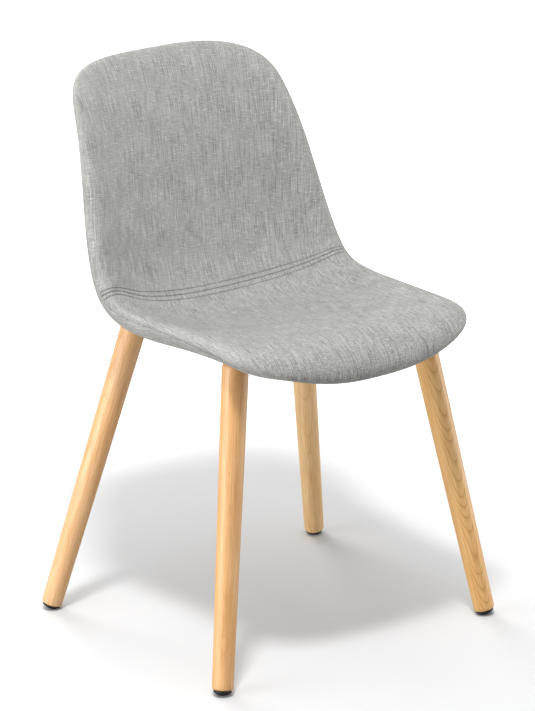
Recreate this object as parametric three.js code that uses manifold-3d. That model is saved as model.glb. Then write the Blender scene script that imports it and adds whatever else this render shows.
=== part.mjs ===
import * as THREE from 'three';
import { mergeVertices } from 'three/addons/utils/BufferGeometryUtils.js';
import Module from 'manifold-3d';

const wasm = await Module();
wasm.setup();

// Upholstered shell dining chair on four wooden legs.
// Millimetres, +Z up, the front of the seat faces -Y, origin on the floor under the middle.

// Shell: overall sizes of its middle surface
const shellDepth = 526;
const shellHeight = 351;
const shellBase = 415;
const shellFront = -260.7;
const shellWidth = 424;
const sideRise = 50;
const padThickness = 32;
const edgeRound = 27;
const frontCornerLength = 103;
const topCornerLength = 95;

// Shell: shares from the front lip to the top of the back.
// depth and height place the centre line, width, rise and thickness follow the sizes above,
// seam is the angle in degrees at which the edge seam lies on the rounded edge.
const shellShares = [
  { depth: 0, height: 0.008, width: 0.79, rise: 0, thickness: 1.02, seam: -35 },
  { depth: 0.017, height: 0.075, width: 0.896, rise: 0, thickness: 1.02, seam: -35 },
  { depth: 0.075, height: 0.118, width: 0.932, rise: 0.06, thickness: 1.02, seam: -34 },
  { depth: 0.216, height: 0.087, width: 0.915, rise: 0.37, thickness: 1.01, seam: -26 },
  { depth: 0.405, height: 0.038, width: 0.922, rise: 0.73, thickness: 1, seam: -8 },
  { depth: 0.637, height: 0, width: 0.987, rise: 0.84, thickness: 1, seam: 4 },
  { depth: 0.768, height: 0.155, width: 1, rise: 0.98, thickness: 1, seam: -24 },
  { depth: 0.837, height: 0.479, width: 0.94, rise: 1, thickness: 0.92, seam: -46 },
  { depth: 0.904, height: 0.781, width: 0.844, rise: 0.97, thickness: 0.84, seam: -46 },
  { depth: 1, height: 1, width: 0.745, rise: 0.56, thickness: 0.75, seam: -46 },
];
const seamShare = 0.507;
const spineFrontShare = 0.75;
const spineTopShare = 0.9;

// Shell: shape exponents
const risePower = 3;
const frontCornerPower = 2.6;
const topCornerPower = 3.1;

// Shell: layers
const coverThickness = 1.4;
const plywoodThickness = 9;
const plywoodEdgeAngle = -62;
const foamEndAngle = -58;

// Legs: where they meet the shell, along its centre line and in from the plywood's side edge,
// and how far their feet stand outside that place
const frontLegSetback = 128;
const rearLegBeforeSeam = 3.3;
const frontPlateClearance = 6.2;
const rearPlateClearance = 38.3;
const frontSplay = { side: 75.7, back: -68 };
const rearSplay = { side: 97.5, back: 82.3 };
const legFootRadius = 14.6;
const legTopRadius = 18.4;
const legLift = 8;
const legFootRound = 3;
const legTopRound = 9;
const legTopSink = 3;

// Leg plates: one under the plywood for each leg
const plateRadius = 17.5;
const plateThickness = 2;
const plateSink = 2.6;
const bossRadius = 6.5;
const bossHeight = 6.5;

// Plate screws
const screwCircle = 12.6;
const screwCount = 3;
const screwRadius = 1.9;
const screwHeadRadius = 3.4;
const screwHeadHeight = 1.7;
const screwLength = 4.8;
const screwTip = 1.5;
const screwCoverDepth = 0.2;

// Hanger bolts
const boltRadius = 4;
const boltInLeg = 46;
const boltTip = 6;
const boltChamfer = 0.8;
const boltTopDepth = 0.5;

// Glides and their nails
const glideRadius = 12.5;
const glideFaceRadius = 4.5;
const glideDomeRadius = 18;
const nailRadius = 1.5;
const nailHeadRadius = 4;
const nailHeadHeight = 1.6;
const nailPocketFloor = 3;
const nailInLeg = 18;
const nailTip = 3;

// Clearances
const gap = 0.3;
const overrun = 8;

// Mesh fineness: counts only
const loopHalfCount = 30;
const outlineSamples = 240;
const cornerWeightShare = 0.25;
const bendWeightShare = 0.6;
const frontEdgeSteps = 7;
const outerEdgeSteps = 3;
const plywoodEdgeSteps = 2;
const loftShares = [0.15, 0.36, 0.64, 1];
const legSegments = 20;
const boltSegments = 10;
const screwSegments = 8;
const roundSteps = 3;
const domeSteps = 3;
const centreSamples = 600;
const meetSteps = 80;
const tinyShare = 0.002;

// Materials
function fabricMaterial() {
  return new THREE.MeshStandardMaterial({ color: 0xa8a8a3, roughness: 0.95, metalness: 0 });
}

function foamMaterial() {
  return new THREE.MeshStandardMaterial({ color: 0xe8dfc4, roughness: 0.9, metalness: 0 });
}

function plywoodMaterial() {
  return new THREE.MeshStandardMaterial({ color: 0xcdab7c, roughness: 0.7, metalness: 0 });
}

function legWoodMaterial() {
  return new THREE.MeshStandardMaterial({ color: 0xdcab70, roughness: 0.5, metalness: 0 });
}

function steelMaterial() {
  return new THREE.MeshStandardMaterial({ color: 0xa9adb0, roughness: 0.4, metalness: 0.9 });
}

function glideMaterial() {
  return new THREE.MeshStandardMaterial({ color: 0x1c1c1c, roughness: 0.5, metalness: 0 });
}

// Solids from triangle meshes
function toSolid(geometry) {
  const bare = new THREE.BufferGeometry();
  bare.setAttribute('position', geometry.getAttribute('position').clone());
  if (geometry.index) {
    bare.setIndex(geometry.index.clone());
  }
  const merged = mergeVertices(bare, tinyShare);
  const corners = merged.index.array;
  const kept = [];
  for (let i = 0; i < corners.length; i += 3) {
    const [a, b, c] = [corners[i], corners[i + 1], corners[i + 2]];
    if (a !== b && b !== c && c !== a) {
      kept.push(a, b, c);
    }
  }
  const mesh = new wasm.Mesh({
    numProp: 3,
    vertProperties: new Float32Array(merged.getAttribute('position').array),
    triVerts: new Uint32Array(kept),
  });
  return new wasm.Manifold(mesh);
}

function toGeometry(solid) {
  const mesh = solid.getMesh();
  const geometry = new THREE.BufferGeometry();
  geometry.setAttribute('position', new THREE.BufferAttribute(new Float32Array(mesh.vertProperties), 3));
  geometry.setIndex(new THREE.BufferAttribute(new Uint32Array(mesh.triVerts), 1));
  geometry.computeVertexNormals();
  return geometry;
}

function named(name, solid, material) {
  const mesh = new THREE.Mesh(toGeometry(solid), material);
  mesh.name = name;
  return mesh;
}

function radians(degrees) {
  return THREE.MathUtils.degToRad(degrees);
}

// Centre line of the shell: a uniform cubic spline through the share table
function splineBlend(rows, key, t) {
  const last = rows.length - 1;
  const at = (i) => {
    if (i < 0) {
      return 2 * rows[0][key] - rows[1][key];
    }
    if (i > last) {
      return 2 * rows[last][key] - rows[last - 1][key];
    }
    return rows[i][key];
  };
  const i = Math.min(Math.floor(t), last - 1);
  const f = t - i;
  const b0 = (1 - f) ** 3 / 6;
  const b1 = (3 * f ** 3 - 6 * f ** 2 + 4) / 6;
  const b2 = (-3 * f ** 3 + 3 * f ** 2 + 3 * f + 1) / 6;
  const b3 = f ** 3 / 6;
  return b0 * at(i - 1) + b1 * at(i) + b2 * at(i + 1) + b3 * at(i + 2);
}

function stationAtParameter(t) {
  const share = (key) => splineBlend(shellShares, key, t);
  return {
    y: shellFront + share('depth') * shellDepth,
    z: shellBase + share('height') * shellHeight,
    halfWidth: (share('width') * shellWidth) / 2,
    rise: Math.max(share('rise'), 0) * sideRise,
    halfThick: (share('thickness') * padThickness) / 2,
    seam: share('seam'),
  };
}

// Length along the centre line at even steps of the spline parameter
function measureCentreLine() {
  const lengths = [0];
  const lastParameter = shellShares.length - 1;
  let before = stationAtParameter(0);
  for (let k = 1; k <= centreSamples; k += 1) {
    const here = stationAtParameter((k / centreSamples) * lastParameter);
    lengths.push(lengths[k - 1] + Math.hypot(here.y - before.y, here.z - before.z));
    before = here;
  }
  return lengths;
}

const centreLengths = measureCentreLine();
const shellLength = centreLengths[centreSamples];
const seamLength = seamShare * shellLength;
const slopeStep = tinyShare * shellLength;

function stationAt(s) {
  const held = Math.min(Math.max(s, 0), shellLength);
  let low = 0;
  let high = centreSamples;
  while (high - low > 1) {
    const middle = (low + high) >> 1;
    if (centreLengths[middle] > held) {
      high = middle;
    } else {
      low = middle;
    }
  }
  const f = (held - centreLengths[low]) / (centreLengths[high] - centreLengths[low]);
  return stationAtParameter(((low + f) / centreSamples) * (shellShares.length - 1));
}

// Unit direction of the centre line at length s, as [y, z]
function centreDirection(s) {
  const held = Math.min(Math.max(s, slopeStep), shellLength - slopeStep);
  const a = stationAt(held - slopeStep);
  const b = stationAt(held + slopeStep);
  const length = Math.hypot(b.y - a.y, b.z - a.z);
  return [(b.y - a.y) / length, (b.z - a.z) / length];
}

// Point of the middle surface: x to the side, s along the centre line
function middlePoint(x, s) {
  const station = stationAt(s);
  const [dy, dz] = centreDirection(s);
  const beyond = s - Math.min(Math.max(s, 0), shellLength);
  const lift = station.rise * Math.min(Math.abs(x) / station.halfWidth, 2) ** risePower;
  return new THREE.Vector3(x, station.y + dy * beyond - dz * lift, station.z + dz * beyond + dy * lift);
}

// Unit normal of the middle surface, towards the sitter
function middleNormal(x, s) {
  const alongX = middlePoint(x + slopeStep, s).sub(middlePoint(x - slopeStep, s));
  const alongS = middlePoint(x, s + slopeStep).sub(middlePoint(x, s - slopeStep));
  return alongX.cross(alongS).normalize();
}

function offsetPoint(x, s, n) {
  return middlePoint(x, s).addScaledVector(middleNormal(x, s), n);
}

// Outline of the shell, flattened: the right half from the front centre to the top centre
function halfOutlineSamples() {
  const points = [];
  for (let k = 0; k < outlineSamples; k += 1) {
    const angle = ((k / outlineSamples) * Math.PI) / 2;
    const s = frontCornerLength * (1 - Math.cos(angle) ** (2 / frontCornerPower));
    points.push([stationAt(s).halfWidth * Math.sin(angle) ** (2 / frontCornerPower), s]);
  }
  const sideEnd = shellLength - topCornerLength;
  for (let k = 0; k < outlineSamples; k += 1) {
    const s = frontCornerLength + (k / outlineSamples) * (sideEnd - frontCornerLength);
    points.push([stationAt(s).halfWidth, s]);
  }
  for (let k = 0; k <= outlineSamples; k += 1) {
    const angle = ((k / outlineSamples) * Math.PI) / 2;
    const s = shellLength - topCornerLength * (1 - Math.sin(angle) ** (2 / topCornerPower));
    points.push([stationAt(s).halfWidth * Math.abs(Math.cos(angle)) ** (2 / topCornerPower), s]);
  }
  return points;
}

function centreHeading(s) {
  const [dy, dz] = centreDirection(s);
  return Math.atan2(dz, dy);
}

// Even steps of length and turning together, so that corners and bends get more points
function halfOutline() {
  const samples = halfOutlineSamples();
  const cornerWeight = (cornerWeightShare * shellWidth) / 2;
  const bendWeight = (bendWeightShare * shellWidth) / 2;
  const walked = [0];
  let heading = 0;
  for (let k = 1; k < samples.length; k += 1) {
    const [x, s] = samples[k];
    const [lastX, lastS] = samples[k - 1];
    const step = Math.hypot(x - lastX, s - lastS);
    const lastHeading = heading;
    heading = step > 0 ? Math.atan2(s - lastS, x - lastX) : lastHeading;
    const corner = cornerWeight * Math.abs(heading - lastHeading);
    const bend = bendWeight * Math.abs(centreHeading(s) - centreHeading(lastS));
    walked.push(walked[k - 1] + step + corner + bend);
  }
  const total = walked[walked.length - 1];
  const points = [];
  let k = 1;
  for (let i = 0; i < loopHalfCount; i += 1) {
    const target = (i / (loopHalfCount - 1)) * total;
    while (k < walked.length - 1 && walked[k] < target) {
      k += 1;
    }
    const f = (target - walked[k - 1]) / (walked[k] - walked[k - 1]);
    const x = samples[k - 1][0] + f * (samples[k][0] - samples[k - 1][0]);
    const s = samples[k - 1][1] + f * (samples[k][1] - samples[k - 1][1]);
    points.push([x, s]);
  }
  points[0][0] = 0;
  points[loopHalfCount - 1][0] = 0;
  return points;
}

function fullOutline() {
  const half = halfOutline();
  const mirrored = half.slice(1, -1).reverse().map(([x, s]) => [-x, s]);
  return half.concat(mirrored);
}

// Inward directions of the flattened outline
function inwardDirections(loop) {
  return loop.map((point, j) => {
    const next = loop[(j + 1) % loop.length];
    const before = loop[(j + loop.length - 1) % loop.length];
    const length = Math.hypot(next[0] - before[0], next[1] - before[1]);
    return [-(next[1] - before[1]) / length, (next[0] - before[0]) / length];
  });
}

const outline = fullOutline();
const inward = inwardDirections(outline);

function insetPlace(j, inset) {
  return [outline[j][0] + inward[j][0] * inset, outline[j][1] + inward[j][1] * inset];
}

// Place between the inner end of the rounded edge and the spine on the centre line
function loftPlace(j, share) {
  const [x, s] = insetPlace(j, edgeRound);
  const spineFront = spineFrontShare * frontCornerLength;
  const spineTop = shellLength - spineTopShare * topCornerLength;
  const spineS = Math.min(Math.max(s, spineFront), spineTop);
  return [x * (1 - share), s + (spineS - s) * share];
}

function halfThickAt(s) {
  return stationAt(s).halfThick;
}

// Every ring has an order: it grows from the spine in front, over the edge, to the spine behind.
// Quads are split from the lower to the higher order, so that surfaces one over another stay parallel.
const frontRimOrder = -1;
const frontEdgeOrder = 0;
const backEdgeOrder = 1;

// One ring of points round the rounded edge; angleOf gives the edge angle in degrees at length s,
// and depth is how far the surface lies inside the outside of the upholstery
function edgeRing(angleOf, depth, order) {
  const points = outline.map((point, j) => {
    const angle = radians(angleOf(point[1]));
    const [x, s] = insetPlace(j, depth + (edgeRound - depth) * (1 - Math.cos(angle)));
    return offsetPoint(x, s, (halfThickAt(s) - depth) * Math.sin(angle));
  });
  return { order, points };
}

function edgeRings(fromOf, toOf, steps, depth, startOrder) {
  const rings = [];
  for (let k = 0; k <= steps; k += 1) {
    const share = k / steps;
    const angleOf = (s) => fromOf(s) * (1 - share) + toOf(s) * share;
    rings.push(edgeRing(angleOf, depth, startOrder + share / 2));
  }
  return rings;
}

// Rings from the edge to the spine at the height that heightAt gives for length s
function loftRings(heightAt, inFront) {
  return loftShares.map((share) => {
    const points = outline.map((point, j) => {
      const [x, s] = loftPlace(j, share);
      return offsetPoint(x, s, heightAt(s));
    });
    return { order: inFront ? frontRimOrder - share : backEdgeOrder + share, points };
  });
}

// Closed solid from rings of equal count, whose first and last ring lie on the spine
function solidFromRings(rings) {
  const count = rings[0].points.length;
  const positions = rings.flatMap((ring) => ring.points.flatMap((point) => [point.x, point.y, point.z]));
  const corners = [];
  for (let r = 0; r < rings.length - 1; r += 1) {
    const rising = rings[r + 1].order > rings[r].order;
    for (let j = 0; j < count; j += 1) {
      const a = r * count + j;
      const b = r * count + ((j + 1) % count);
      if (rising) {
        corners.push(a, b, b + count, a, b + count, a + count);
      } else {
        corners.push(a, b, a + count, b, b + count, a + count);
      }
    }
  }
  const geometry = new THREE.BufferGeometry();
  geometry.setAttribute('position', new THREE.Float32BufferAttribute(positions, 3));
  geometry.setIndex(corners);
  const solid = toSolid(geometry);
  if (solid.volume() > 0) {
    return solid;
  }
  const flipped = corners.map((corner, i) => corners[i - (i % 3) + [0, 2, 1][i % 3]]);
  geometry.setIndex(flipped);
  return toSolid(geometry);
}

const frontPole = () => 90;
const backPole = () => -90;
const plywoodEdge = () => plywoodEdgeAngle;
const foamEnd = () => foamEndAngle;
const seamAngle = (s) => stationAt(s).seam;
const seamGapAngle = THREE.MathUtils.radToDeg(gap / edgeRound);
const outerEdgeAngle = (s) => seamAngle(s) - 2 * seamGapAngle;

// Surfaces of the upholstery at a depth under its outside
function frontSurfaceRings(depth, endAngle, steps) {
  const flat = loftRings((s) => halfThickAt(s) - depth, true).reverse();
  return flat.concat(edgeRings(frontPole, endAngle, steps, depth, frontEdgeOrder));
}

function backSurfaceRings(depth) {
  const flat = loftRings((s) => depth - halfThickAt(s), false);
  const edge = edgeRings(plywoodEdge, backPole, plywoodEdgeSteps, depth, backEdgeOrder / 2);
  return edge.concat(flat);
}

function outerSurfaceRings(depth) {
  const edge = edgeRings(outerEdgeAngle, plywoodEdge, outerEdgeSteps, depth, frontEdgeOrder);
  return edge.slice(0, -1).concat(backSurfaceRings(depth));
}

function frontCoverSolid() {
  const outside = frontSurfaceRings(0, seamAngle, frontEdgeSteps);
  const inside = frontSurfaceRings(coverThickness, seamAngle, frontEdgeSteps).reverse();
  return solidFromRings(outside.concat(inside));
}

function outerCoverSolid() {
  const outside = outerSurfaceRings(0);
  const inside = outerSurfaceRings(coverThickness).reverse();
  return solidFromRings(inside.concat(outside));
}

// Outside of the whole upholstery, grown by a clearance
function envelopeSolid(grow) {
  const front = frontSurfaceRings(-grow, seamAngle, frontEdgeSteps);
  const back = outerSurfaceRings(-grow);
  return solidFromRings(front.concat(back));
}

// Plywood: its back follows the outer cover, its edge stands inside the foam
const plywoodDepth = coverThickness + gap;
const plywoodFrontHeight = (s) => plywoodDepth + plywoodThickness - halfThickAt(s);

function plywoodEdgeInset() {
  return plywoodDepth + (edgeRound - plywoodDepth) * (1 - Math.cos(radians(plywoodEdgeAngle)));
}

function insetRing(inset, heightAt, order) {
  const points = outline.map((point, j) => {
    const [x, s] = insetPlace(j, inset);
    return offsetPoint(x, s, heightAt(s));
  });
  return { order, points };
}

function plywoodSolid() {
  const front = loftRings(plywoodFrontHeight, true).reverse();
  const frontRim = insetRing(edgeRound, plywoodFrontHeight, frontRimOrder);
  const frontEdge = insetRing(plywoodEdgeInset(), plywoodFrontHeight, frontEdgeOrder);
  const back = backSurfaceRings(plywoodDepth);
  return solidFromRings(front.concat([frontRim, frontEdge], back));
}

// Foam: under the front covers, round the edge, and on the plywood
const foamDepth = coverThickness + gap;
const foamInnerHeight = (s) => plywoodFrontHeight(s) + gap;

function foamEndHeight(s) {
  return (halfThickAt(s) - foamDepth) * Math.sin(radians(foamEndAngle));
}

function foamSolid() {
  const front = frontSurfaceRings(foamDepth, seamAngle, frontEdgeSteps);
  const edge = edgeRings(seamAngle, foamEnd, outerEdgeSteps, foamDepth, backEdgeOrder / 2).slice(1);
  const stepIn = insetRing(plywoodEdgeInset() - gap, foamEndHeight, backEdgeOrder);
  const stepUp = insetRing(plywoodEdgeInset() - gap, foamInnerHeight, frontEdgeOrder);
  const rim = insetRing(edgeRound, foamInnerHeight, frontRimOrder);
  const inside = loftRings(foamInnerHeight, true);
  return solidFromRings(front.concat(edge, [stepIn, stepUp, rim], inside));
}

// Cut along the plane of the seam between back and seat
function seamCutter(towardsBack) {
  const size = 2 * (shellDepth + shellHeight + shellWidth);
  const [dy, dz] = centreDirection(seamLength);
  const seamPoint = middlePoint(0, seamLength);
  const side = towardsBack ? 1 : -1;
  const reach = side * (size / 2 - gap / 2);
  const box = new THREE.BoxGeometry(size, size, size);
  box.rotateX(Math.atan2(dz, dy));
  box.translate(0, seamPoint.y + dy * reach, seamPoint.z + dz * reach);
  return toSolid(box);
}

function backPartOf(solid) {
  return solid.subtract(seamCutter(false));
}

function seatPartOf(solid) {
  return solid.subtract(seamCutter(true));
}

// Turned pieces: a profile of [radius, height] points, closed on the axis
function turned(profile, segments) {
  const points = profile.map(([radius, height]) => new THREE.Vector2(radius, height));
  const geometry = new THREE.LatheGeometry(points, segments);
  geometry.rotateX(Math.PI / 2);
  return geometry;
}

// Lays a turned piece's axis from a point along a unit direction
function placeAlong(geometry, origin, direction) {
  const turn = new THREE.Quaternion().setFromUnitVectors(new THREE.Vector3(0, 0, 1), direction);
  geometry.applyQuaternion(turn);
  geometry.translate(origin.x, origin.y, origin.z);
  return geometry;
}

function turnedSolid(profile, segments, origin, direction) {
  const solid = toSolid(placeAlong(turned(profile, segments), origin, direction));
  if (solid.volume() > 0) {
    return solid;
  }
  return toSolid(placeAlong(turned(profile.slice().reverse(), segments), origin, direction));
}

function rodSolid(radius, from, to, segments, origin, direction) {
  return turnedSolid([[0, from], [radius, from], [radius, to], [0, to]], segments, origin, direction);
}

// Axis of a leg: it meets the underside of the shell at length s along the centre line,
// where the leg's plate clears the side edge of the plywood
function legAxis(sideSign, s, plateClearance, splay) {
  const inset = plywoodEdgeInset() + plateRadius + plateClearance;
  const x = sideSign * (stationAt(s).halfWidth - inset);
  const top = offsetPoint(x, s, -halfThickAt(s));
  const foot = new THREE.Vector3(top.x + sideSign * splay.side, top.y + splay.back, 0);
  return { x, s, foot, direction: top.sub(foot).normalize() };
}

// Where a leg's axis meets the surface at a given depth under the back of the upholstery
function meetShell(axis, depth) {
  let { x, s } = axis;
  let place = null;
  for (let k = 0; k < meetSteps; k += 1) {
    place = offsetPoint(x, s, depth - halfThickAt(s));
    const onAxis = axis.foot.clone().addScaledVector(axis.direction, place.z / axis.direction.z);
    x += (onAxis.x - place.x) / 2;
    s += (onAxis.y - place.y) / 2;
  }
  const reach = place.clone().sub(axis.foot).dot(axis.direction);
  const point = axis.foot.clone().addScaledVector(axis.direction, reach);
  return { point, normal: middleNormal(x, s), reach };
}

// Leg: tapered, rounded at both ends, its top shaped to the underside of the shell
function legProfile(length) {
  const taper = (legTopRadius - legFootRadius) / (length - legLift);
  const radiusAt = (height) => legFootRadius + taper * (height - legLift);
  const profile = [[0, legLift]];
  for (let k = 0; k <= roundSteps; k += 1) {
    const angle = ((k / roundSteps) * Math.PI) / 2;
    const height = legLift + legFootRound * (1 - Math.cos(angle));
    profile.push([radiusAt(height) - legFootRound * (1 - Math.sin(angle)), height]);
  }
  for (let k = 0; k <= roundSteps; k += 1) {
    const angle = ((k / roundSteps) * Math.PI) / 2;
    const height = length - legTopRound * (1 - Math.sin(angle));
    profile.push([radiusAt(height) - legTopRound * (1 - Math.cos(angle)), height]);
  }
  profile.push([0, length]);
  return profile;
}

function legSolid(axis, envelope, top) {
  const length = top.reach + legTopSink;
  const body = turnedSolid(legProfile(length), legSegments, axis.foot, axis.direction);
  const boltHoleStart = top.reach - boltInLeg - gap;
  const boltHole = rodSolid(
    boltRadius + gap, boltHoleStart, top.reach + overrun, boltSegments, axis.foot, axis.direction,
  );
  const nailHoleEnd = legLift + nailInLeg + gap;
  const nailHole = rodSolid(
    nailRadius + gap, legLift - overrun, nailHoleEnd, screwSegments, axis.foot, axis.direction,
  );
  return body.subtract(envelope).subtract(boltHole).subtract(nailHole);
}

// Hanger bolt: a pointed wood end in the leg, a chamfered end in the plate's boss
function boltSolid(axis, top, seat) {
  const start = top.reach - boltInLeg;
  const end = seat.reach + bossHeight - boltTopDepth;
  const profile = [
    [0, start],
    [boltRadius, start + boltTip],
    [boltRadius, end - boltChamfer],
    [boltRadius - boltChamfer, end],
    [0, end],
  ];
  return turnedSolid(profile, boltSegments, axis.foot, axis.direction);
}

// Leg plate: a round plate flat against the plywood with a slanted boss for the bolt
function plateFrame(seat) {
  const acrossFirst = new THREE.Vector3(1, 0, 0);
  acrossFirst.addScaledVector(seat.normal, -acrossFirst.dot(seat.normal)).normalize();
  const acrossSecond = seat.normal.clone().cross(acrossFirst);
  return { acrossFirst, acrossSecond };
}

function screwPlaces(seat) {
  const { acrossFirst, acrossSecond } = plateFrame(seat);
  const places = [];
  for (let k = 0; k < screwCount; k += 1) {
    const angle = ((k + 1 / 2) / screwCount) * 2 * Math.PI;
    const place = seat.point.clone();
    place.addScaledVector(acrossFirst, screwCircle * Math.cos(angle));
    place.addScaledVector(acrossSecond, screwCircle * Math.sin(angle));
    places.push(place);
  }
  return places;
}

// Screw with a countersunk head; grow widens it into its hole
function screwSolid(place, direction, grow) {
  const headBase = plateSink + screwCoverDepth;
  const base = headBase - (grow > 0 ? overrun : 0);
  const tip = headBase + screwLength + grow;
  const profile = [
    [0, base],
    [screwHeadRadius + grow, base],
    [screwHeadRadius + grow, headBase],
    [screwRadius + grow, headBase + screwHeadHeight],
    [screwRadius + grow, tip - screwTip],
    [0, tip],
  ];
  const used = grow > 0 ? profile : profile.filter((point, i) => i !== 1);
  return turnedSolid(used, screwSegments, place, direction);
}

function bossSolid(axis, seat, radius, from, to) {
  return rodSolid(radius, seat.reach + from, seat.reach + to, boltSegments, axis.foot, axis.direction);
}

function plateSolid(axis, seat) {
  let plate = rodSolid(
    plateRadius, plateSink, plateSink + plateThickness, legSegments, seat.point, seat.normal,
  );
  const below = rodSolid(
    plateRadius, -plateRadius, plateSink, legSegments, seat.point, seat.normal,
  );
  plate = plate.add(bossSolid(axis, seat, bossRadius, 0, bossHeight).subtract(below));
  plate = plate.subtract(bossSolid(axis, seat, boltRadius + gap, -overrun, bossHeight + overrun));
  for (const place of screwPlaces(seat)) {
    plate = plate.subtract(screwSolid(place, seat.normal, gap));
  }
  return plate;
}

// What one leg's hardware takes out of the plywood
function plywoodCut(axis, seat) {
  let cut = rodSolid(
    plateRadius + gap, -overrun, plateSink + plateThickness + gap, legSegments, seat.point, seat.normal,
  );
  cut = cut.add(bossSolid(axis, seat, bossRadius + gap, -overrun, bossHeight + 2 * overrun));
  const screwEnd = plateSink + screwCoverDepth + screwLength + gap;
  for (const place of screwPlaces(seat)) {
    cut = cut.add(rodSolid(screwRadius + gap, plateSink, screwEnd, screwSegments, place, seat.normal));
  }
  return cut;
}

// Glide: a domed disc under the leg, with a small flat face where it meets the floor
function glideDomeCentre(axis) {
  return Math.sqrt(glideDomeRadius ** 2 - glideFaceRadius ** 2) / axis.direction.z;
}

function glideSolid(axis) {
  const centre = glideDomeCentre(axis);
  const top = legLift - gap;
  const startAngle = Math.asin(glideRadius / glideDomeRadius);
  const profile = [[0, centre - glideDomeRadius]];
  for (let k = 1; k <= domeSteps; k += 1) {
    const angle = (k / domeSteps) * startAngle;
    profile.push([glideDomeRadius * Math.sin(angle), centre - glideDomeRadius * Math.cos(angle)]);
  }
  profile.push([glideRadius, top], [0, top]);
  const body = turnedSolid(profile, legSegments, axis.foot, axis.direction);
  const pocket = rodSolid(
    nailHeadRadius + gap, nailPocketFloor, top + overrun, boltSegments, axis.foot, axis.direction,
  );
  const floorSize = 2 * (shellDepth + shellWidth);
  const floor = new THREE.BoxGeometry(floorSize, floorSize, floorSize);
  floor.translate(0, 0, -floorSize / 2);
  return body.subtract(pocket).subtract(toSolid(floor));
}

function nailSolid(axis) {
  const base = nailPocketFloor + gap;
  const end = legLift + nailInLeg;
  const profile = [
    [0, base],
    [nailHeadRadius, base],
    [nailHeadRadius, base + nailHeadHeight],
    [nailRadius, base + nailHeadHeight],
    [nailRadius, end - nailTip],
    [0, end],
  ];
  return turnedSolid(profile, screwSegments, axis.foot, axis.direction);
}

// Assembly
const chair = new THREE.Group();
chair.name = 'upholstered_shell_chair';

function frontLegAxis(sideSign) {
  return legAxis(sideSign, frontLegSetback, frontPlateClearance, frontSplay);
}

function rearLegAxis(sideSign) {
  return legAxis(sideSign, seamLength - rearLegBeforeSeam, rearPlateClearance, rearSplay);
}

const legPlaces = [
  { name: 'front_right', axis: frontLegAxis(-1) },
  { name: 'front_left', axis: frontLegAxis(1) },
  { name: 'rear_right', axis: rearLegAxis(-1) },
  { name: 'rear_left', axis: rearLegAxis(1) },
];

const grownEnvelope = envelopeSolid(gap);
let plywood = plywoodSolid();
let outerCover = outerCoverSolid();

for (const { name, axis } of legPlaces) {
  const top = meetShell(axis, 0);
  const seat = meetShell(axis, plywoodDepth);
  plywood = plywood.subtract(plywoodCut(axis, seat));
  const coverHole = rodSolid(
    boltRadius + gap, top.reach - overrun, top.reach + overrun, screwSegments, axis.foot, axis.direction,
  );
  outerCover = outerCover.subtract(coverHole);
  chair.add(named(`leg_${name}`, legSolid(axis, grownEnvelope, top), legWoodMaterial()));
  chair.add(named(`hanger_bolt_${name}`, boltSolid(axis, top, seat), steelMaterial()));
  chair.add(named(`leg_plate_${name}`, plateSolid(axis, seat), steelMaterial()));
  screwPlaces(seat).forEach((place, k) => {
    chair.add(named(`plate_screw_${name}_${k + 1}`, screwSolid(place, seat.normal, 0), steelMaterial()));
  });
  chair.add(named(`glide_${name}`, glideSolid(axis), glideMaterial()));
  chair.add(named(`glide_nail_${name}`, nailSolid(axis), steelMaterial()));
}

const foam = foamSolid();
const frontCover = frontCoverSolid();
chair.add(named('plywood_shell', plywood, plywoodMaterial()));
chair.add(named('seat_foam', seatPartOf(foam), foamMaterial()));
chair.add(named('back_foam', backPartOf(foam), foamMaterial()));
chair.add(named('seat_cover', seatPartOf(frontCover), fabricMaterial()));
chair.add(named('inside_back_cover', backPartOf(frontCover), fabricMaterial()));
chair.add(named('outer_cover', outerCover, fabricMaterial()));

export default chair;
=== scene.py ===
import math

import bpy
import numpy as np
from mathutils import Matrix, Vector


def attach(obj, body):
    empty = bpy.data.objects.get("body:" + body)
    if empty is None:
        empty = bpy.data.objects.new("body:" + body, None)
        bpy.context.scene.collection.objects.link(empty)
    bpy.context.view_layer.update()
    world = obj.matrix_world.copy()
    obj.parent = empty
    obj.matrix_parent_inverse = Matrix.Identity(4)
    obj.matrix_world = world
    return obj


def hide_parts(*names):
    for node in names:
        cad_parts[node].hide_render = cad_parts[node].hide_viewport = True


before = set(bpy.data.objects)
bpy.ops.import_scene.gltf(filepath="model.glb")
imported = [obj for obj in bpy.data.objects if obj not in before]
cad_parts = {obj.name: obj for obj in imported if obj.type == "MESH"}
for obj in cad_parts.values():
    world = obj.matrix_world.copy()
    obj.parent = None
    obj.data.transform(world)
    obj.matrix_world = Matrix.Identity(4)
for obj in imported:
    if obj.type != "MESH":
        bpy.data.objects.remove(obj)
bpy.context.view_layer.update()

# Shapes are worked out in millimetres, as in the CAD source, and made into meshes in metres.
MM = 0.001

# How finely shapes are worked out
CENTRE_LINE_POINTS = 2401
DIFFERENCE_STEP = 1.5
SEAM_DIFFERENCE_STEP = 1.0
CURVE_POINTS = 500
OUTLINE_HALF_POINTS = 900
SEAM_POINTS = 400
POINT_BATCH = 4000
SWELL_BATCH = 2000
STEP_GROWTH = 1.16

# Shell: the CAD's own sizes and table of shares
SHELL_DEPTH = 526.0
SHELL_HEIGHT = 351.0
SHELL_BASE = 415.0
SHELL_FRONT = -260.7
SHELL_WIDTH = 424.0
SIDE_RISE = 50.0
PAD_THICKNESS = 32.0
EDGE_ROUND = 27.0
FRONT_CORNER_LENGTH = 103.0
TOP_CORNER_LENGTH = 95.0
FRONT_CORNER_POWER = 2.6
TOP_CORNER_POWER = 3.1
RISE_POWER = 3
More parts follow.
